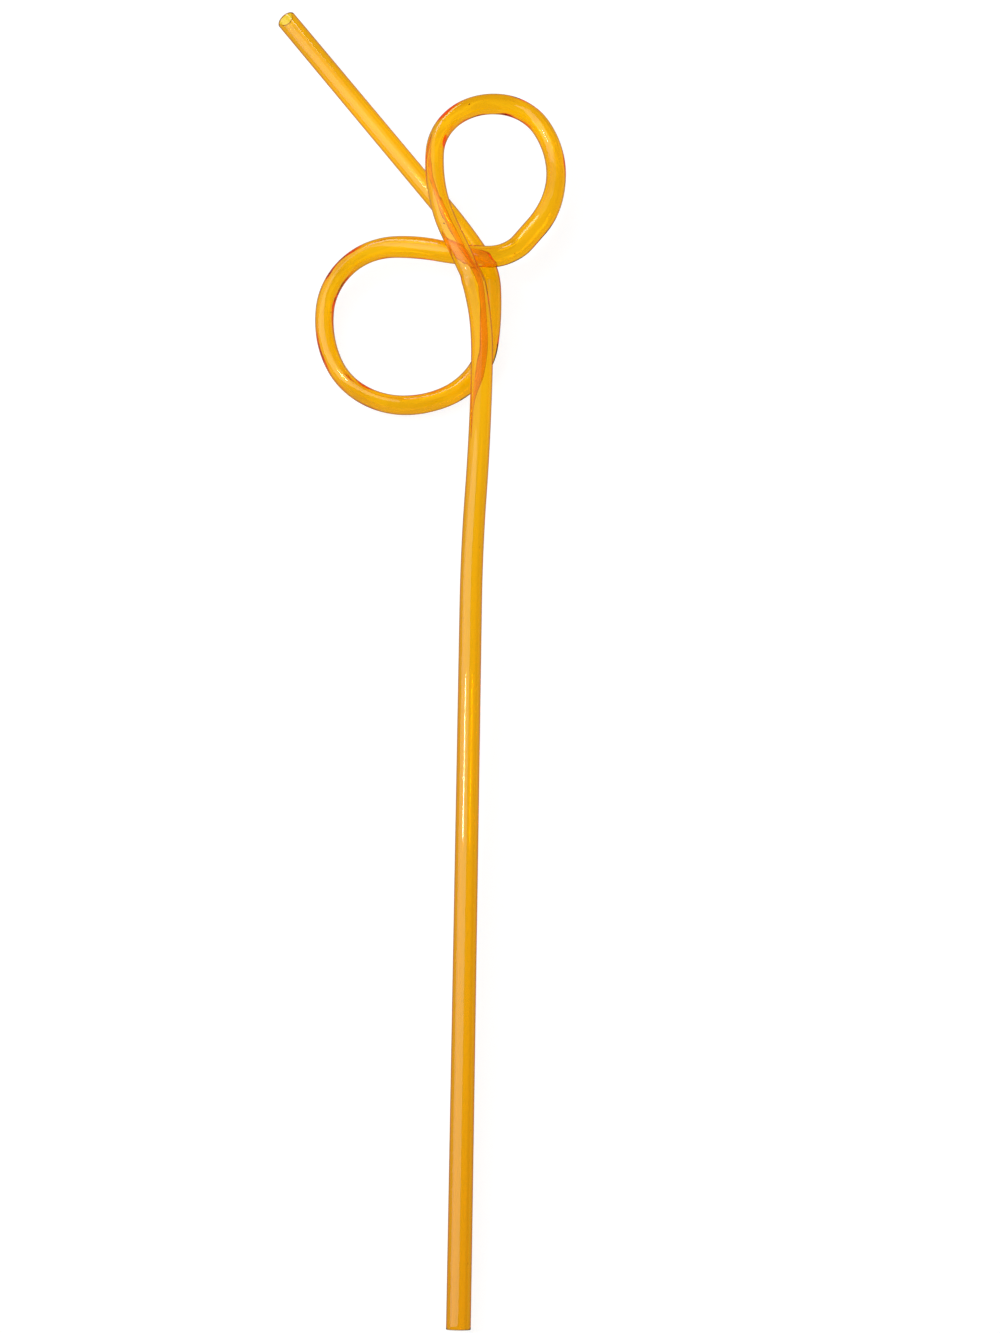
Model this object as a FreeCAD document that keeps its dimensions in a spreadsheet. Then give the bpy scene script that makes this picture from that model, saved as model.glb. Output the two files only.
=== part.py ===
import FreeCAD, Part
import Sketcher
import math
import os

os.makedirs("parts", exist_ok=True)

# A loopy drinking straw: one clear plastic tube with a long straight stem, a clockwise upper loop,
# a counter-clockwise lower loop and a straight mouthpiece that slants up to the left.
# It lies as it comes to rest: +Z is up, and +Y runs from the stem's foot to the mouth.
# Lengths are in millimetres and turns in degrees.
SIZES = {
    "tube_diameter": 4.5,
    "wall": 0.6,
    "rim_radius": 0.15,
    "cross_gap": 0.2,  # clearance where one stretch of tube lies over another
    "stem_heading": 89.3,  # direction of the stem seen from above, from +X
    "stem_length": 138.0,
    "mouth_length": 61.5,
}

# Bends, each with its radius and turn seen from above (left is positive) and its squeeze: how much
# narrower than round the bent tube is. It stands as much taller, and a minus is a flattened tube.
BENDS = {
    "sway_right": (450.0, -3.0, 0.0),
    "sway_left": (600.0, 3.0, 0.0),
    "neck_ease": (80.0, 12.0, -0.1),
    "neck": (18.5, 11.5, -0.5),
    "upper_entry": (43.0, -25.5, 0.4),
    "upper_crown": (14.0, -88.0, 0.6),
    "upper_shoulder": (11.0, -57.5, 0.25),
    "upper_side": (20.5, -69.5, 0.2),
    "upper_exit": (9.5, -55.5, -0.3),
    "bridge": (57.0, -10.5, 0.0),
    "lower_entry": (41.0, 13.0, -0.4),
    "lower_crown": (15.0, 86.0, 0.55),
    "lower_side": (25.0, 31.5, 0.55),
    "lower_turn": (16.5, 63.0, 0.95),
    "lower_floor": (20.0, 25.0, 0.6),
    "lower_exit": (16.5, 58.0, 0.0),
    "return": (80.0, 10.0, 0.0),
    "mouth_bend": (15.5, 27.5, 0.0),
    "mouth_ease": (145.0, 6.0, 0.0),
}

# Short straight runs between bends, each with its length and its squeeze.
RUNS = {
    "neck_run": (11.5, 0.0),
    "upper_run": (5.0, -0.6),
}

# The stretches from the top of the stem to the mouthpiece.
ROUTE = [
    "sway_right", "sway_left", "neck_ease", "neck", "neck_run",
    "upper_entry", "upper_crown", "upper_shoulder", "upper_side", "upper_run", "upper_exit",
    "bridge",
    "lower_entry", "lower_crown", "lower_side", "lower_turn", "lower_floor", "lower_exit",
    "return", "mouth_bend", "mouth_ease",
]

# The stem climbs from the table and levels out over these two stretches, two tubes up.
LEVELLING = ["sway_right", "sway_left"]
STEM_TUBES = 2

# How many tubes up the underside is at the end of a stretch. It eases from one height to the next,
# so that stem and neck cross over both loops and the bridge crosses over the lower one.
HEIGHTS = [("upper_entry", 2), ("upper_side", 1), ("bridge", 1), ("lower_side", 0)]

STATION_TURN = math.radians(15)  # two cross-sections stand at most this turn apart
STATION_STEP = 10.0  # and at most this far along the tube
SLOPE_STEP = 0.01  # distance over which the route's slope is measured

doc = FreeCAD.newDocument("LoopyStraw")
sheet = doc.addObject("Spreadsheet::Sheet", "Sizes")


def name_sizes():
    """Every driving dimension by its name."""
    named = dict(SIZES)
    for name, (radius, turn, squeeze) in BENDS.items():
        named[name + "_radius"] = radius
        named[name + "_turn"] = turn
        named[name + "_squeeze"] = squeeze
    for name, (length, squeeze) in RUNS.items():
        named[name + "_length"] = length
        named[name + "_squeeze"] = squeeze
    return named


def fill_sheet():
    """Puts each driving dimension in a cell of its own, with its name as the alias."""
    for row, (alias, number) in enumerate(name_sizes().items(), start=1):
        sheet.set("A%d" % row, alias)
        sheet.set("B%d" % row, str(number))
        sheet.setAlias("B%d" % row, alias)
    doc.recompute()


def size(alias):
    """A driving dimension, read from the sheet."""
    return float(sheet.get(alias))


def stretch(name):
    """Length and signed turn in radians of one stretch, seen from above."""
    if name in RUNS:
        return size(name + "_length"), 0.0
    turn = math.radians(size(name + "_turn"))
    return size(name + "_radius") * abs(turn), turn


def storey():
    """Height from one stretch of tube to the next one that lies over it."""
    return size("tube_diameter") + size("cross_gap")


def levelling_length():
    """Length of the stretches over which the climbing stem levels out."""
    return sum(stretch(name)[0] for name in LEVELLING)


def stem_slope():
    """Angle at which the stem climbs from the table, in radians."""
    climb = STEM_TUBES * storey()
    return math.asin(climb / (size("stem_length") + levelling_length() / 2))


def eased(knots, distance):
    """The value at a distance, eased from one (distance, value) knot to the next."""
    for (start, first), (end, last) in zip(knots, knots[1:]):
        if distance < end:
            share = max(0.0, (distance - start) / (end - start))
            return first + (last - first) * share * share * (3 - 2 * share)
    return knots[-1][1]


def underside(distance, knots):
    """Height of the tube's underside at a distance past the stem."""
    left = max(0.0, levelling_length() - distance)
    return eased(knots, distance) - math.tan(stem_slope()) * left * left / (2 * levelling_length())


def height_knots():
    """Knots of the underside's height, at the ends of the stretches named in HEIGHTS."""
    knots = [(0.0, STEM_TUBES * storey())]
    tubes_at = dict(HEIGHTS)
    distance = 0.0
    for name in ROUTE:
        distance += stretch(name)[0]
        if name in tubes_at:
            knots.append((distance, tubes_at[name] * storey()))
    return knots


def squeeze_knots():
    """Knots of the tube's squeeze: in the middle of each bend and at both ends of each run."""
    knots = [(0.0, 0.0)]
    distance = 0.0
    for name in ROUTE:
        length = stretch(name)[0]
        squeeze = size(name + "_squeeze")
        if name in RUNS:
            knots.append((distance, squeeze))
            knots.append((distance + length, squeeze))
        else:
            knots.append((distance + length / 2, squeeze))
        distance += length
    knots.append((distance, 0.0))
    return knots


def route_stations():
    """Distance, x, y and heading of each cross-section past the stem, seen from above."""
    heading = math.radians(size("stem_heading"))
    reach = size("stem_length") * math.cos(stem_slope())
    x = reach * math.cos(heading)
    y = reach * math.sin(heading)
    distance = 0.0
    stations = [(distance, x, y, heading)]
    for name in ROUTE:
        length, turn = stretch(name)
        steps = max(2, math.ceil(abs(turn) / STATION_TURN), math.ceil(length / STATION_STEP))
        half_turn = turn / steps / 2
        chord = length / steps
        if turn:
            chord *= math.sin(half_turn) / half_turn
        for _ in range(steps):
            x += chord * math.cos(heading + half_turn)
            y += chord * math.sin(heading + half_turn)
            heading += 2 * half_turn
            distance += length / steps
            stations.append((distance, x, y, heading))
    return stations


def frames():
    """Centre, forward, sideways and upward directions and half sizes of each cross-section."""
    heights = height_knots()
    squeezes = squeeze_knots()
    upright = FreeCAD.Vector(0, 0, 1)
    result = []
    for distance, x, y, heading in route_stations():
        squeeze = eased(squeezes, distance)
        half_width = (size("tube_diameter") - squeeze) / 2
        half_height = (size("tube_diameter") + squeeze) / 2
        low = underside(distance, heights)
        centre = FreeCAD.Vector(x, y, low + half_height)
        climb = underside(distance + SLOPE_STEP, heights) - low
        forward = FreeCAD.Vector(math.cos(heading), math.sin(heading), climb / SLOPE_STEP).normalize()
        sideways = upright.cross(forward).normalize()
        upward = forward.cross(sideways)
        result.append((distance, centre, forward, sideways, upward, half_width, half_height))
    return result


def section_poles(centre, sideways, upward, half_width, half_height):
    """The nine poles of an exact ellipse of four quarter arcs, from one side round and back."""
    corners = [(1, 0), (1, 1), (0, 1), (-1, 1), (-1, 0), (-1, -1), (0, -1), (1, -1), (1, 0)]
    return [centre + sideways * (half_width * a) + upward * (half_height * b) for a, b in corners]


def tube_face(sections, inset):
    """A smooth tube through all cross-sections, everywhere the same inset from the outside."""
    rings = [
        section_poles(centre, sideways, upward, half_width - inset, half_height - inset)
        for _, centre, _, sideways, upward, half_width, half_height in sections
    ]
    lines = []
    for poles in zip(*rings):
        line = Part.BSplineCurve()
        line.interpolate(
            Points=list(poles),
            Parameters=[section[0] for section in sections],
            InitialTangent=sections[0][2],
            FinalTangent=sections[-1][2],
            Scale=False,
        )
        lines.append(line)
    corner = math.sqrt(0.5)
    weights = [1, corner, 1, corner, 1, corner, 1, corner, 1]
    rows = range(1, lines[0].NbPoles + 1)
    surface = Part.BSplineSurface()
    surface.buildFromPolesMultsKnots(
        [[line.getPole(row) for line in lines] for row in rows],
        lines[0].getMultiplicities(),
        [3, 2, 2, 2, 3],
        lines[0].getKnots(),
        [0, 1, 2, 3, 4],
        False,
        False,
        lines[0].Degree,
        2,
        [weights for _ in rows],
    )
    return surface.toShape()


def end_ring(outer_face, bore_face, centre):
    """The flat ring that closes the wall at one end of the tube."""
    wires = []
    for face in (outer_face, bore_face):
        rims = [edge for edge in face.Edges if edge.isClosed()]
        nearest = min(rims, key=lambda edge: (edge.CenterOfMass - centre).Length)
        wires.append(Part.Wire(nearest))
    return Part.makeFace(wires, "Part::FaceMakerBullseye")


def bent_tube(sections):
    """One closed solid for all of the tube between the straight stem and the straight mouthpiece."""
    outer_face = tube_face(sections, 0.0)
    bore_face = tube_face(sections, size("wall"))
    first_ring = end_ring(outer_face, bore_face, sections[0][1])
    last_ring = end_ring(outer_face, bore_face, sections[-1][1])
    shell = Part.makeShell([outer_face, bore_face, first_ring, last_ring])
    shell.sewShape()
    solid = Part.makeSolid(shell)
    if solid.Volume < 0:
        solid.reverse()
    return solid


def straight_tube(name, length, free_end, placement):
    """A straight round tube along its own +Z, with the rim at its free end rounded."""
    body = doc.addObject("PartDesign::Body", name)
    sketch = body.newObject("Sketcher::SketchObject", name + "Section")
    base = [item for item in body.Origin.OriginFeatures if item.Role == "XY_Plane"][0]
    sketch.AttachmentSupport = [(base, "")]
    sketch.MapMode = "FlatFace"
    middle = FreeCAD.Vector(0, 0, 0)
    upright = FreeCAD.Vector(0, 0, 1)
    sketch.addGeometry(Part.Circle(middle, upright, size("tube_diameter") / 2), False)
    sketch.addGeometry(Part.Circle(middle, upright, size("tube_diameter") / 2 - size("wall")), False)
    for circle, bound in enumerate(("Sizes.tube_diameter", "Sizes.tube_diameter - 2 * Sizes.wall")):
        sketch.addConstraint(Sketcher.Constraint("Coincident", circle, 3, -1, 1))
        constraint = sketch.addConstraint(Sketcher.Constraint("Diameter", circle, 1.0 + circle))
        sketch.setExpression("Constraints[%d]" % constraint, bound)
    pad = body.newObject("PartDesign::Pad", name + "Length")
    pad.Profile = sketch
    pad.setExpression("Length", length)
    doc.recompute()
    end = 0.0 if free_end == "start" else pad.Shape.BoundBox.ZMax
    rims = [
        "Edge%d" % number
        for number, edge in enumerate(pad.Shape.Edges, start=1)
        if edge.isClosed() and abs(edge.CenterOfMass.z - end) < size("wall") / 10
    ]
    rim = body.newObject("PartDesign::Fillet", name + "Rim")
    rim.Base = (pad, rims)
    rim.setExpression("Radius", "Sizes.rim_radius")
    body.Tip = rim
    body.Placement = placement
    return body


def along(start, direction):
    """Placement that stands a tube's +Z along a direction, from a start point."""
    return FreeCAD.Placement(start, FreeCAD.Rotation(FreeCAD.Vector(0, 0, 1), direction))


def build_straw():
    """The stem, the bent tube and the mouthpiece as one solid, resting on the table."""
    sections = frames()
    stem_end = sections[0][1]
    stem_forward = sections[0][2]
    mouth_start = sections[-1][1]
    mouth_forward = sections[-1][2]
    foot = stem_end - stem_forward * size("stem_length")
    stem = straight_tube("Stem", "Sizes.stem_length", "start", along(foot, stem_forward))
    mouth = straight_tube("Mouthpiece", "Sizes.mouth_length", "end", along(mouth_start, mouth_forward))
    loops = doc.addObject("Part::Feature", "Loops")
    loops.Shape = bent_tube(sections)
    straw = doc.addObject("Part::MultiFuse", "Straw")
    straw.Shapes = [stem, loops, mouth]
    straw.Label = "straw"
    doc.recompute()
    box = straw.Shape.optimalBoundingBox(False, False)
    straw.Placement.Base = FreeCAD.Vector(-box.Center.x, -box.Center.y, -box.ZMin)
    doc.recompute()
    return straw


def check(straw):
    """Stops if anything failed to build, or if the straw isn't one sound solid."""
    for item in doc.Objects:
        if "Invalid" in item.State or "Error" in item.State:
            raise RuntimeError(item.Name + " failed to build")
    if straw.Shape.isNull() or not straw.Shape.isValid() or len(straw.Shape.Solids) != 1:
        raise RuntimeError(straw.Label + " isn't one sound solid")


fill_sheet()
straw = build_straw()
check(straw)
straw.Shape.exportStep("parts/%s.step" % straw.Label)
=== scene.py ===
import bpy
import math
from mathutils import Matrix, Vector


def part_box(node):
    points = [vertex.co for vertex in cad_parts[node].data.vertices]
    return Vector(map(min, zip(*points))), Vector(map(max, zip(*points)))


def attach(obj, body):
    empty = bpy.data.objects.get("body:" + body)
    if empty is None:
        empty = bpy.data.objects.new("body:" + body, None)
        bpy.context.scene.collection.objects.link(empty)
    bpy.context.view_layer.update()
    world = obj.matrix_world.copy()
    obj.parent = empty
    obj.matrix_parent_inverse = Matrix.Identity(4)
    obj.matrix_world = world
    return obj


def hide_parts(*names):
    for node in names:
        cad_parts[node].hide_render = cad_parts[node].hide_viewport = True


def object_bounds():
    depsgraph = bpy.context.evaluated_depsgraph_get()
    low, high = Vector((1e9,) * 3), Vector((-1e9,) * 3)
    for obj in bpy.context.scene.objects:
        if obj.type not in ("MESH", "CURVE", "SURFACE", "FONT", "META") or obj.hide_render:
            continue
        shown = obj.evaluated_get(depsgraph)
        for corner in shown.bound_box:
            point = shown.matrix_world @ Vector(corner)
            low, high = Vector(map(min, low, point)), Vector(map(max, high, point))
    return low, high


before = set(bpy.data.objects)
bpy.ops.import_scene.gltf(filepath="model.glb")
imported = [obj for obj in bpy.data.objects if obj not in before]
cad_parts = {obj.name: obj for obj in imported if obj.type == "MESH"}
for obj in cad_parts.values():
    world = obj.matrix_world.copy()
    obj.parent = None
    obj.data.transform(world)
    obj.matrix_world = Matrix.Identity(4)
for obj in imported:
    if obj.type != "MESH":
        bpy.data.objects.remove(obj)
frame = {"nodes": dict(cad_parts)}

mm = 0.001  # the straw's own sizes are in millimetres, Blender's in metres
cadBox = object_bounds()
scene = bpy.context.scene
scene.view_settings.view_transform = "Standard"
scene.cycles.max_bounces = 20           # light is turned back many times inside the clear walls before it
scene.cycles.glossy_bounces = 12        # gets out, and with fewer bounces black patches are left there
scene.cycles.transmission_bounces = 20
print("frame loaded:", ", ".join(frame["nodes"]))


# small helpers

def linear(hexColour):
    parts = [int(hexColour[i:i + 2], 16) / 255 for i in (1, 3, 5)]
    return [p / 12.92 if p <= 0.04045 else ((p + 0.055) / 1.055) ** 2.4 for p in parts] + [1.0]


def addNode(tree, kind, settings=None, inputs=None, links=None):
    # settings are the node's own options, inputs its socket values, links its sockets' sources
    node = tree.nodes.new(kind)
    for name, value in (settings or {}).items():
        setattr(node, name, value)
    for name, value in (inputs or {}).items():
        node.inputs[name].default_value = value
    for name, source in (links or {}).items():
        tree.links.new(source, node.inputs[name])
    return node


def selectOnly(thing):
    bpy.ops.object.select_all(action="DESELECT")
    thing.select_set(True)
    bpy.context.view_layer.objects.active = thing


def applyModifier(thing, kind, settings):
    selectOnly(thing)
    modifier = thing.modifiers.new(kind.title(), kind)
    for name, value in settings.items():
        setattr(modifier, name, value)
    bpy.ops.object.modifier_apply(modifier=modifier.name)


# camera: held above the foot's end of the straw and tipped towards the loops, as the photo was taken

camera = {
    "aim": (18.1, -14.4, 0.0),  # mm, the point of the table that the middle of the picture shows
    "distance": 397.8,          # mm, from the lens to that point
    "tip": 19.0,                # degrees off straight down
    "focal": 1950.0,            # the lens, in pixels of a picture so many high
    "pictureHeight": 1333.0,
    "near": 0.01,               # metres, what the lens can see
    "far": 20.0,
}


def placeCamera(size):
    data = bpy.data.cameras.new("camera")
    data.sensor_fit = "AUTO"  # the sensor's width lies along the picture's longer side, which is its height
    data.lens = data.sensor_width * size["focal"] / size["pictureHeight"]
    data.clip_start = size["near"]
    data.clip_end = size["far"]
    view = bpy.data.objects.new("camera", data)
    bpy.context.collection.objects.link(view)
    tip = math.radians(size["tip"])
    back = Vector((0.0, -math.sin(tip), math.cos(tip)))
    view.location = (Vector(size["aim"]) + back * size["distance"]) * mm
    view.rotation_euler = (tip, 0.0, 0.0)
    scene.camera = view


placeCamera(camera)
print("camera placed")


# the straw: one extruded tube, bent in a jig. Seen from above, each bend has a radius, a turn in degrees
# (left is positive) and a squeeze, which is how much narrower than round the tube gets there

straw = {
    "outside": 4.5,
    "wall": 0.6,
    "rim": 0.15,             # rounding of the cut ends
    "rimFaces": 3,           # across the rounding
    "crossGap": 0.2,         # clearance between tubes that cross
    "stemHeading": 89.3,     # degrees from +X
    "stem": 138.0,
    "mouthpiece": 61.5,
    "climbTubes": 2,         # the stem climbs over both loops
    "levelOver": ["swayRight", "swayLeft"],
    "sides": 48,             # facets round the tube
    "ringStep": 0.75,        # distance between its rings
    "stationTurn": 15.0,     # the route has a point at least every so many degrees
    "stationSteps": 32,      # and so many steps of the curve between two of them
    "sharpEdge": 50.0,       # degrees, a sharper edge isn't smoothed over
    "sharpBend": 16.0,       # a bend of this radius or less shows all the ripples of heat bending
    "runSharpness": 0.3,     # and a run between bends this share of them
    # painted shade: the colour is made deeper towards the foot, where less light falls, and along the stretch
    # that lies in the neck's amber shadow
    "paintedShadeAlong": [           # distance from the foot, and how much deeper the colour is painted there, from 0 to 1
        (0, 1.0), (60, 0.7), (120, 0.35), (200, 0.0), (396, 0.0), (406, 0.6), (436, 0.6), (446, 0.0),
    ],
    "bends": {
        "swayRight": (450.0, -3.0, 0.0),
        "swayLeft": (600.0, 3.0, 0.0),
        "neckEase": (80.0, 12.0, -0.1),
        "neck": (18.5, 11.5, -0.5),
        "upperEntry": (43.0, -25.5, 0.4),
        "upperCrown": (14.0, -88.0, 0.6),
        "upperShoulder": (11.0, -57.5, 0.25),
        "upperSide": (20.5, -69.5, 0.2),
        "upperExit": (9.5, -55.5, -0.3),
        "bridge": (57.0, -10.5, 0.0),
        "lowerEntry": (41.0, 13.0, -0.4),
        "lowerCrown": (15.0, 86.0, 0.55),
        "lowerSide": (25.0, 31.5, 0.55),
        "lowerTurn": (16.5, 63.0, 0.95),
        "lowerFloor": (20.0, 25.0, 0.6),
        "lowerExit": (16.5, 58.0, 0.0),
        "return": (80.0, 10.0, 0.0),
        "mouthBend": (15.5, 27.5, 0.0),
        "mouthEase": (145.0, 6.0, 0.0),
    },
    "runs": {"neckRun": (11.5, 0.0), "upperRun": (5.0, -0.6)},  # length and squeeze
    "route": [
        "swayRight", "swayLeft", "neckEase", "neck", "neckRun",
        "upperEntry", "upperCrown", "upperShoulder", "upperSide", "upperRun", "upperExit",
        "bridge",
        "lowerEntry", "lowerCrown", "lowerSide", "lowerTurn", "lowerFloor", "lowerExit",
        "return", "mouthBend", "mouthEase",
    ],
    "tubesUp": {"upperEntry": 2, "upperSide": 1, "bridge": 1, "lowerSide": 0},  # at a stretch's end
}


def stretchOf(size, name):
    if name in size["runs"]:
        length, squeeze = size["runs"][name]
        return length, 0.0, squeeze
    radius, turn, squeeze = size["bends"][name]
    return radius * abs(math.radians(turn)), math.radians(turn), squeeze


def eased(knots, at):
    # the value at a distance, between knots of distance and value
    for (start, first), (end, last) in zip(knots, knots[1:]):
        if at < end:
            share = max(0.0, (at - start) / (end - start))
            return first + (last - first) * share * share * (3 - 2 * share)
    return knots[-1][1]


def profilesOf(size):
    # knots, by distance past the stem, of the underside's height, the squeeze and how sharply the tube is bent
    storey = size["outside"] + size["crossGap"]
    heights = [(0.0, size["climbTubes"] * storey)]
    squeezes = [(0.0, 0.0)]
    sharpness = [(0.0, 0.0)]
    at = 0.0
    for name in size["route"]:
        length, turn, squeeze = stretchOf(size, name)
        if name in size["runs"]:
            squeezes += [(at, squeeze), (at + length, squeeze)]
            sharpness.append((at + length / 2, size["runSharpness"]))
        else:
            squeezes.append((at + length / 2, squeeze))
            sharpness.append((at + length / 2, min(1.0, abs(turn) / length * size["sharpBend"])))
        at += length
        if name in size["tubesUp"]:
            heights.append((at, size["tubesUp"][name] * storey))
    squeezes.append((at, 0.0))
    sharpness.append((at, 0.0))
    return heights, squeezes, sharpness


def routeOf(size):
    # points of the tube's middle line from the foot to the mouth: distance past the stem, place, direction
    heights, squeezes = profilesOf(size)[:2]
    levelling = sum(stretchOf(size, name)[0] for name in size["levelOver"])
    climb = size["climbTubes"] * (size["outside"] + size["crossGap"])
    slope = math.asin(climb / (size["stem"] + levelling / 2))

    def middle(at):
        left = max(0.0, levelling - at)
        low = eased(heights, at) - math.tan(slope) * left * left / (2 * levelling)
        return low + (size["outside"] + eased(squeezes, at)) / 2

    def direction(at, heading):
        near = 0.01  # mm to each side
        rise = math.tan(slope) if at <= 0 else (middle(at + near) - middle(at - near)) / (2 * near)
        return Vector((math.cos(heading), math.sin(heading), rise))

    heading = math.radians(size["stemHeading"])
    reach = size["stem"] * math.cos(slope)
    x, y, at = reach * math.cos(heading), reach * math.sin(heading), 0.0
    top = Vector((x, y, middle(0.0)))
    along = direction(0.0, heading)
    points = [(-reach, top - along * reach, along), (0.0, top, along)]
    for name in size["route"]:
        length, turn, squeeze = stretchOf(size, name)
        steps = max(2, math.ceil(abs(turn) / math.radians(size["stationTurn"])))
        half = turn / steps / 2
        chord = length / steps * (math.sin(half) / half if half else 1.0)
        for step in range(steps):
            x += chord * math.cos(heading + half)
            y += chord * math.sin(heading + half)
            heading += 2 * half
            at += length / steps
            points.append((at, Vector((x, y, middle(at))), direction(at, heading)))
    end = points[-1][1] + points[-1][2] * size["mouthpiece"]
    points.append((at + size["mouthpiece"], end, points[-1][2]))
    return points


def drawRoute(size):
    # a Bezier line through the route's points, its handles as long as an arc needs
    points = routeOf(size)
    data = bpy.data.curves.new("strawRoute", "CURVE")
    data.dimensions = "3D"
    data.twist_mode = "Z_UP"
    data.resolution_u = size["stationSteps"]
    spline = data.splines.new("BEZIER")
    spline.bezier_points.add(len(points) - 1)
    for i, (at, place, along) in enumerate(points):
        knot = spline.bezier_points[i]
        knot.handle_left_type = "FREE"
        knot.handle_right_type = "FREE"
        knot.co = place * mm
        before = handleLength(points[i - 1], points[i]) if i else 0.0
        after = handleLength(points[i], points[i + 1]) if i + 1 < len(points) else 0.0
        knot.handle_left = (place - along * (before or after)) * mm
        knot.handle_right = (place + along * (after or before)) * mm
    route = bpy.data.objects.new("strawRoute", data)
    bpy.context.collection.objects.link(route)
    return route


def handleLength(first, second):
    # for the arc between two points of the route, or for a straight stretch
    span = second[0] - first[0]
    turn = first[2].to_2d().angle(second[2].to_2d())
    return span / turn * 4 / 3 * math.tan(turn / 4) if turn > 1e-4 else span / 3


def squeezeTube(tube, size):
    # narrows or flattens the straight tube, ring by ring, before it is bent. The place of each point on the
    # straight tube, the sharpness of its bend and its share of painted shade are kept for the material
    squeezes, sharpness = profilesOf(size)[1:]
    tube.data.attributes.new("straightPlace", "FLOAT_VECTOR", "POINT")
    tube.data.attributes.new("bendSharpness", "FLOAT", "POINT")
    tube.data.attributes.new("paintedShadeShare", "FLOAT", "POINT")
    places = tube.data.attributes["straightPlace"].data  # looked up once all three exist
    bends = tube.data.attributes["bendSharpness"].data
    paintedShadeValues = tube.data.attributes["paintedShadeShare"].data
    for vertex in tube.data.vertices:
        places[vertex.index].vector = vertex.co
        at = max(0.0, vertex.co.x / mm - size["stem"])
        bends[vertex.index].value = eased(sharpness, at)
        paintedShadeValues[vertex.index].value = eased(size["paintedShadeAlong"], vertex.co.x / mm)
        squeeze = eased(squeezes, at)
        vertex.co.y *= 1 - squeeze / size["outside"]
        vertex.co.z *= 1 + squeeze / size["outside"]


def makeStraw(size):
    route = drawRoute(size)
    length = route.data.splines[0].calc_length()
    rings = round(length / (size["ringStep"] * mm))
    step = length / rings
    bpy.ops.object.select_all(action="DESELECT")
    bpy.ops.mesh.primitive_cylinder_add(
        vertices=size["sides"], radius=size["outside"] / 2 * mm, depth=step, end_fill_type="NOTHING",
        location=(step / 2, 0, 0), rotation=(0, math.pi / 2, 0))
    tube = bpy.context.object
    tube.name = "strawTube"
    bpy.ops.object.transform_apply(location=True, rotation=True, scale=True)
    applyModifier(tube, "ARRAY", {  # one ring of faces after another, their edges merged
        "count": rings, "use_relative_offset": False, "use_constant_offset": True,
        "constant_offset_displace": (step, 0, 0), "use_merge_vertices": True, "merge_threshold": step / 100})
    squeezeTube(tube, size)
    applyModifier(tube, "CURVE", {"object": route, "deform_axis": "POS_X"})
    bpy.data.objects.remove(route)
    outer = len(tube.data.vertices)
    applyModifier(tube, "SOLIDIFY", {"thickness": size["wall"] * mm, "offset": -1.0, "use_rim": True})
    side = tube.data.attributes.new("outerWall", "FLOAT", "POINT")
    for i in range(outer):  # Solidify puts the inner wall's points after these
        side.data[i].value = 1.0
    applyModifier(tube, "BEVEL", {  # only the cut ends have edges of 90 degrees
        "width": size["rim"] * mm, "segments": size["rimFaces"],
        "limit_method": "ANGLE", "angle_limit": math.radians(60)})
    seat(tube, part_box("straw"))
    selectOnly(tube)
    bpy.ops.object.shade_smooth_by_angle(angle=math.radians(size["sharpEdge"]))
    return tube


def seat(piece, box):
    # puts the piece exactly in the box of the CAD's node, from which it differs by about 0.01 mm
    for i in range(3):
        low = min(v.co[i] for v in piece.data.vertices)
        high = max(v.co[i] for v in piece.data.vertices)
        stretch = (box[1][i] - box[0][i]) / (high - low)
        for vertex in piece.data.vertices:
            vertex.co[i] = box[0][i] + (vertex.co[i] - low) * stretch


def straightLength(tube):
    # of the tube before it was bent, from the marks on its points
    return max(mark.vector.x for mark in tube.data.attributes["straightPlace"].data)


strawTube = makeStraw(straw)
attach(strawTube, "root")
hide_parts("straw")
print("straw made:", len(strawTube.data.polygons), "faces")


# clear PET dyed amber, extruded through a ring-shaped die and then heat bent. The wall takes light off by its
# depth, so the tube is deeper in colour where tubes cross. Painted shade is mixed into the skin's colour:
# deeper towards the foot and in the neck's shadow, browner along the outlines and darker on patches of the
# rippled bends.
# The eye also sees the die's fine lines along the tube, ripples where it was bent, light scuffs, a few specks
# and the frosted cut ends

petClear = {
    "throughOneMm": "#FED212",  # what is left of white light after one millimetre of wall
    "ior": 1.57,
    "cells": {                  # of each noise: mm along the tube, mm round it, detail
        "lines": (80.0, 0.7, 1.0),  # the die's real ones are finer, but would not show
        "haze": (80.0, 0.7, 2.0),
        "ripples": (8.0, 2.8, 1.0),
        "scuffs": (9.0, 3.0, 4.0),
    },
    "lineDepth": 0.004,         # mm
    "rippleDepth": 0.3,         # mm, in the sharpest bends
    "straightRipple": 0.02,     # share of it on straight tube
    "patchEdge": 0.04,          # softness of the patches of painted shade, round the middle of the noise
    "speckSpacing": 5.0,        # mm
    "speckSize": 0.16,          # mm
    "rimShadeFrom": 0.5,         # 0 where the skin faces the eye, 1 where it is seen edge on
    "rimShadeTo": 0.9,
    "haze": "#FFF3DA",          # between the die's lines
    "paintedShadeTint": "#FDEED0",       # painted shade, added towards the foot and in the neck's shadow
    # painted shade on patches of the rippled bends
    "rippleShade": "#F7EEB0",
    "speck": "#8A5A18",
    "rimShade": "#A87830",       # painted shade on the skin where it turns away from the eye
    "cutColour": "#F0BC68",     # the cut ends, which the blade left frosted
    "cutFrost": 0.85,
    "cutRoughness": 0.3,
    "roughness": 0.004,
    "scuffed": 0.02,            # roughness in the scuffs
    "scuffsFrom": 0.5,          # the part of their noise that shows
    "scuffsTo": 0.8,
}


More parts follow.
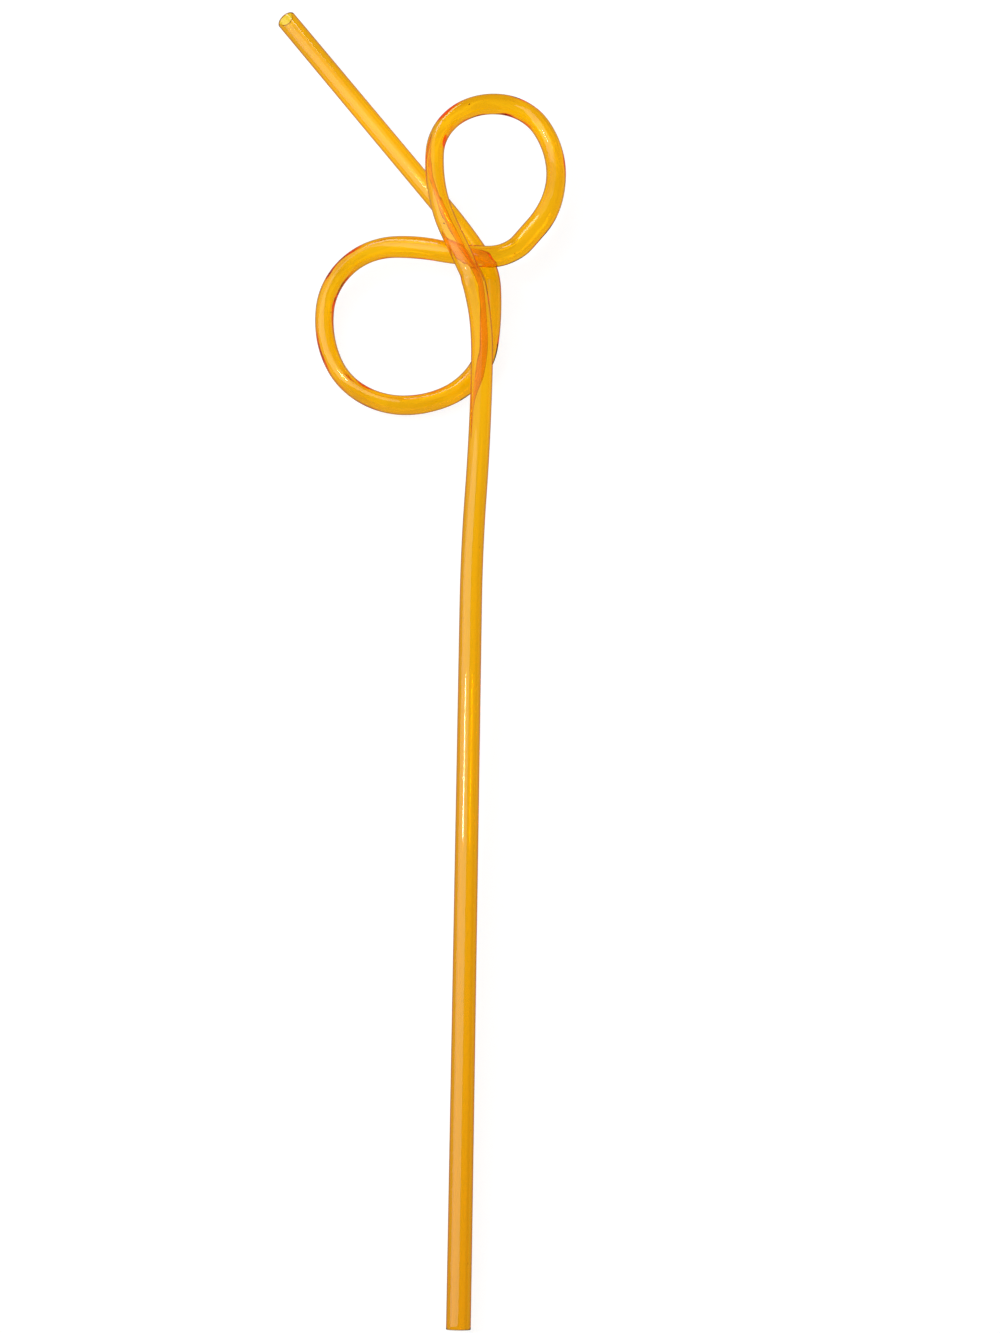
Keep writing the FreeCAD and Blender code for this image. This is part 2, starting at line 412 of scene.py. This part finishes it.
def petMaterial(look):
    material = bpy.data.materials.new("clearAmberPet")
    material.use_nodes = True
    tree = material.node_tree
    tree.nodes.clear()
    place = addNode(tree, "ShaderNodeAttribute", {"attribute_name": "straightPlace"}).outputs["Vector"]
    bend = addNode(tree, "ShaderNodeAttribute", {"attribute_name": "bendSharpness"}).outputs["Fac"]
    # painted shade: how much the colour is deepened towards the foot and in the neck's shadow
    depth = addNode(tree, "ShaderNodeAttribute", {"attribute_name": "paintedShadeShare"}).outputs["Fac"]
    outside = addNode(tree, "ShaderNodeAttribute", {"attribute_name": "outerWall"}).outputs["Fac"]

    noise = {}
    for name, (along, across, detail) in look["cells"].items():
        scaled = addNode(
            tree, "ShaderNodeMapping",
            inputs={"Scale": (1 / (along * mm), 1 / (across * mm), 1 / (across * mm))},
            links={"Vector": place})
        noise[name] = addNode(
            tree, "ShaderNodeTexNoise",
            inputs={"Scale": 1.0, "Detail": detail},
            links={"Vector": scaled.outputs[0]}).outputs[0]

    # relief: the die's lines, then the ripples of bending over them, whose noise also marks out the patches of
    # painted shade
    lines = addNode(
        tree, "ShaderNodeBump",
        inputs={"Distance": look["lineDepth"] * mm},
        links={"Height": noise["lines"]})
    rippled = addNode(
        tree, "ShaderNodeMapRange",
        inputs={"To Min": look["straightRipple"], "To Max": 1.0},
        links={"Value": bend})
    relief = addNode(
        tree, "ShaderNodeBump",
        inputs={"Distance": look["rippleDepth"] * mm},
        links={"Height": noise["ripples"], "Strength": rippled.outputs[0], "Normal": lines.outputs[0]})
    patches = addNode(
        tree, "ShaderNodeMapRange",
        inputs={"From Min": 0.5 - look["patchEdge"], "From Max": 0.5 + look["patchEdge"]},
        links={"Value": noise["ripples"]})
    rippleShadeShare = addNode(
        tree, "ShaderNodeMath", {"operation": "MULTIPLY"},
        links={0: patches.outputs[0], 1: rippled.outputs[0]})

    # 1 at the cut ends, 0 elsewhere
    fromFoot = addNode(tree, "ShaderNodeSeparateXYZ", links={"Vector": place}).outputs["X"]
    footCut = addNode(
        tree, "ShaderNodeMath", {"operation": "LESS_THAN"},
        inputs={1: straw["rim"] * mm},
        links={0: fromFoot})
    mouthCut = addNode(
        tree, "ShaderNodeMath", {"operation": "GREATER_THAN"},
        inputs={1: strawLength - straw["rim"] * mm},
        links={0: fromFoot})
    cut = addNode(
        tree, "ShaderNodeMath", {"operation": "ADD"},
        links={0: footCut.outputs[0], 1: mouthCut.outputs[0]})

    # specks, and painted shade where the outside turns away from the eye
    spots = addNode(
        tree, "ShaderNodeTexVoronoi",
        inputs={"Scale": 1 / (look["speckSpacing"] * mm)},
        links={"Vector": place})
    specks = addNode(
        tree, "ShaderNodeMath", {"operation": "LESS_THAN"},
        inputs={1: look["speckSize"] / look["speckSpacing"]},
        links={0: spots.outputs["Distance"]})
    facing = addNode(tree, "ShaderNodeLayerWeight").outputs["Facing"]
    rimShadeShare = addNode(
        tree, "ShaderNodeMapRange",
        inputs={"From Min": look["rimShadeFrom"], "From Max": look["rimShadeTo"]},
        links={"Value": facing})
    rimShadeShare = addNode(
        tree, "ShaderNodeMath", {"operation": "MULTIPLY"},
        links={0: rimShadeShare.outputs[0], 1: outside})

    # the skin's colour: white, which leaves the dye as it is, and each of these mixed in over the last
    shares = {
        "haze": noise["haze"], "paintedShadeTint": depth, "rippleShade": rippleShadeShare.outputs[0],
        "speck": specks.outputs[0], "rimShade": rimShadeShare.outputs[0], "cutColour": cut.outputs[0],
    }
    skinColour = None
    for name, share in shares.items():
        mixed = addNode(
            tree, "ShaderNodeMix", {"data_type": "RGBA"},
            inputs={6: (1, 1, 1, 1), 7: linear(look[name])},  # 6 and 7 are its two colours, and 2 their mix
            links={"Factor": share})
        if skinColour:
            tree.links.new(skinColour, mixed.inputs[6])
        skinColour = mixed.outputs[2]

    scuffs = addNode(
        tree, "ShaderNodeMapRange",
        inputs={"From Min": look["scuffsFrom"], "From Max": look["scuffsTo"],
                "To Min": look["roughness"], "To Max": look["scuffed"]},
        links={"Value": noise["scuffs"]})
    rough = addNode(
        tree, "ShaderNodeMix", {"data_type": "FLOAT"},
        inputs={"B": look["cutRoughness"]},
        links={"Factor": cut.outputs[0], "A": scuffs.outputs[0]})
    clear = addNode(
        tree, "ShaderNodeMath", {"operation": "MULTIPLY_ADD"},
        inputs={1: -look["cutFrost"], 2: 1.0},
        links={0: cut.outputs[0]})
    skin = addNode(
        tree, "ShaderNodeBsdfPrincipled",
        inputs={"IOR": look["ior"]},
        links={"Base Color": skinColour, "Transmission Weight": clear.outputs[0], "Roughness": rough.outputs[0],
               "Normal": relief.outputs[0]})

    # the dye: what each colour loses by the metre
    loses = [-math.log(share) / mm for share in linear(look["throughOneMm"])[:3]]
    dye = addNode(
        tree, "ShaderNodeVolumeAbsorption",
        inputs={"Color": [1 - loss / max(loses) for loss in loses] + [1.0], "Density": max(loses)})
    addNode(tree, "ShaderNodeOutputMaterial", links={"Surface": skin.outputs["BSDF"], "Volume": dye.outputs[0]})
    return material


strawLength = straightLength(strawTube)
strawTube.data.materials.clear()
strawTube.data.materials.append(petMaterial(petClear))
print("plastic ready")


# plain white table top, large enough to fill every view. Part of its white is its own, so that the straw's
# shadow on it stays faint

table = {
    "size": 6.0,           # metres
    "colour": "#888888",   # of the paint, which takes the light and the shadow
    "whiteSeen": 0.92,     # added for the camera, so that it shows as plain white
    "whiteInGloss": 0.04,  # mirrored in the straw's outside, where more would hide its amber outlines
    "whiteAlong": [        # seen through the straw: mm along Y, and how white. The loops are nearer the light
        (-140, 0.61), (-60, 0.66), (25, 0.67), (50, 0.86), (75, 0.8), (95, 0.82), (115, 0.95), (135, 0.72),
    ],
}


def makeTable(size):
    bpy.ops.object.select_all(action="DESELECT")
    bpy.ops.mesh.primitive_plane_add(size=size["size"], location=(0, 0, cadBox[0][2]))
    top = bpy.context.object
    top.name = "tableTop"
    bpy.ops.object.transform_apply(location=True, rotation=True, scale=True)
    material = bpy.data.materials.new("whitePaint")
    material.use_nodes = True
    tree = material.node_tree
    tree.nodes.clear()
    rays = addNode(tree, "ShaderNodeLightPath")
    place = addNode(tree, "ShaderNodeTexCoord").outputs["Object"]
    along = addNode(tree, "ShaderNodeSeparateXYZ", links={"Vector": place}).outputs["Y"]
    low, high = size["whiteAlong"][0][0], size["whiteAlong"][-1][0]
    along = addNode(
        tree, "ShaderNodeMapRange",
        inputs={"From Min": low * mm, "From Max": high * mm},
        links={"Value": along})
    share = addNode(tree, "ShaderNodeValToRGB", links={"Fac": along.outputs[0]})
    stops = share.color_ramp.elements
    while len(stops) < len(size["whiteAlong"]):
        stops.new(1.0)
    for stop, (at, white) in zip(stops, size["whiteAlong"]):
        stop.position = (at - low) / (high - low)
        stop.color = (white, white, white, 1)
    gloss = addNode(
        tree, "ShaderNodeMath", {"operation": "MULTIPLY"},
        inputs={1: size["whiteInGloss"]},
        links={0: rays.outputs["Is Glossy Ray"]})
    glass = addNode(
        tree, "ShaderNodeMath", {"operation": "MULTIPLY"},
        links={0: rays.outputs["Is Transmission Ray"], 1: share.outputs[0]})
    either = addNode(
        tree, "ShaderNodeMath", {"operation": "MAXIMUM"},
        links={0: gloss.outputs[0], 1: glass.outputs[0]})
    white = addNode(
        tree, "ShaderNodeMath", {"operation": "MULTIPLY_ADD"},
        inputs={1: size["whiteSeen"]},
        links={0: rays.outputs["Is Camera Ray"], 2: either.outputs[0]})
    paint = addNode(tree, "ShaderNodeBsdfDiffuse", inputs={"Color": linear(size["colour"])})
    glow = addNode(
        tree, "ShaderNodeEmission",
        inputs={"Color": (1, 1, 1, 1)},
        links={"Strength": white.outputs[0]})
    both = addNode(tree, "ShaderNodeAddShader", links={0: paint.outputs[0], 1: glow.outputs[0]})
    addNode(tree, "ShaderNodeOutputMaterial", links={"Surface": both.outputs[0]})
    top.data.materials.append(material)


makeTable(table)


# soft studio light: two large softboxes from the left edge of the table to overhead, whose edges draw the line
# along the middle of the tube, two small lamps that give the bright streaks, and a dim room

lamps = {  # at, aim and size in metres. White is how bright the face is, where 1 is white paper in full light
    "softBox": {"at": (-0.5, 0.07, 0.525), "aim": (0.0, 0.07, 0.0), "size": (0.62, 1.38), "white": 1.4},
    "farBox": {"at": (-0.5, 0.76, 0.525), "aim": (0.0, 0.76, 0.0), "size": (0.76, 1.38), "white": 0.4},
    "smallLamp": {"at": (-0.585, 0.145, 0.74), "aim": (0.0, 0.0, 0.0), "size": (0.115, 0.1), "white": 24.0},
    "backLamp": {"at": (-0.15, 0.75, 0.6), "aim": (0.0, 0.05, 0.0), "size": (0.3, 0.2), "white": 4.0},
}
room = {
    "white": 0.09,
    "whiteSeen": 0.96,    # for the camera, past the table's edge
    "whiteInGlass": 0.8,  # added where it shows through the straw
}


def addLamp(name, look):
    data = bpy.data.lights.new(name, "AREA")
    data.shape = "RECTANGLE"
    data.size, data.size_y = look["size"]  # the level side, then the one that climbs
    data.energy = look["white"] * math.pi * data.size * data.size_y
    lamp = bpy.data.objects.new(name, data)
    bpy.context.collection.objects.link(lamp)
    lamp.location = look["at"]
    lamp.rotation_euler = (Vector(look["aim"]) - Vector(look["at"])).to_track_quat("-Z", "Y").to_euler()


def lightRoom(look):
    world = bpy.data.worlds.new("room")
    world.use_nodes = True
    tree = world.node_tree
    tree.nodes.clear()
    rays = addNode(tree, "ShaderNodeLightPath")
    glass = addNode(
        tree, "ShaderNodeMath", {"operation": "MULTIPLY_ADD"},
        inputs={1: look["whiteInGlass"], 2: look["white"]},
        links={0: rays.outputs["Is Transmission Ray"]})
    seen = addNode(
        tree, "ShaderNodeMath", {"operation": "MULTIPLY"},
        inputs={1: look["whiteSeen"]},
        links={0: rays.outputs["Is Camera Ray"]})
    white = addNode(
        tree, "ShaderNodeMath", {"operation": "MAXIMUM"},
        links={0: glass.outputs[0], 1: seen.outputs[0]})
    glow = addNode(
        tree, "ShaderNodeBackground",
        inputs={"Color": (1, 1, 1, 1)},
        links={"Strength": white.outputs[0]})
    addNode(tree, "ShaderNodeOutputWorld", links={"Surface": glow.outputs[0]})
    scene.world = world


for lampName, lampLook in lamps.items():
    addLamp(lampName, lampLook)
lightRoom(room)
print("table and lamps placed")
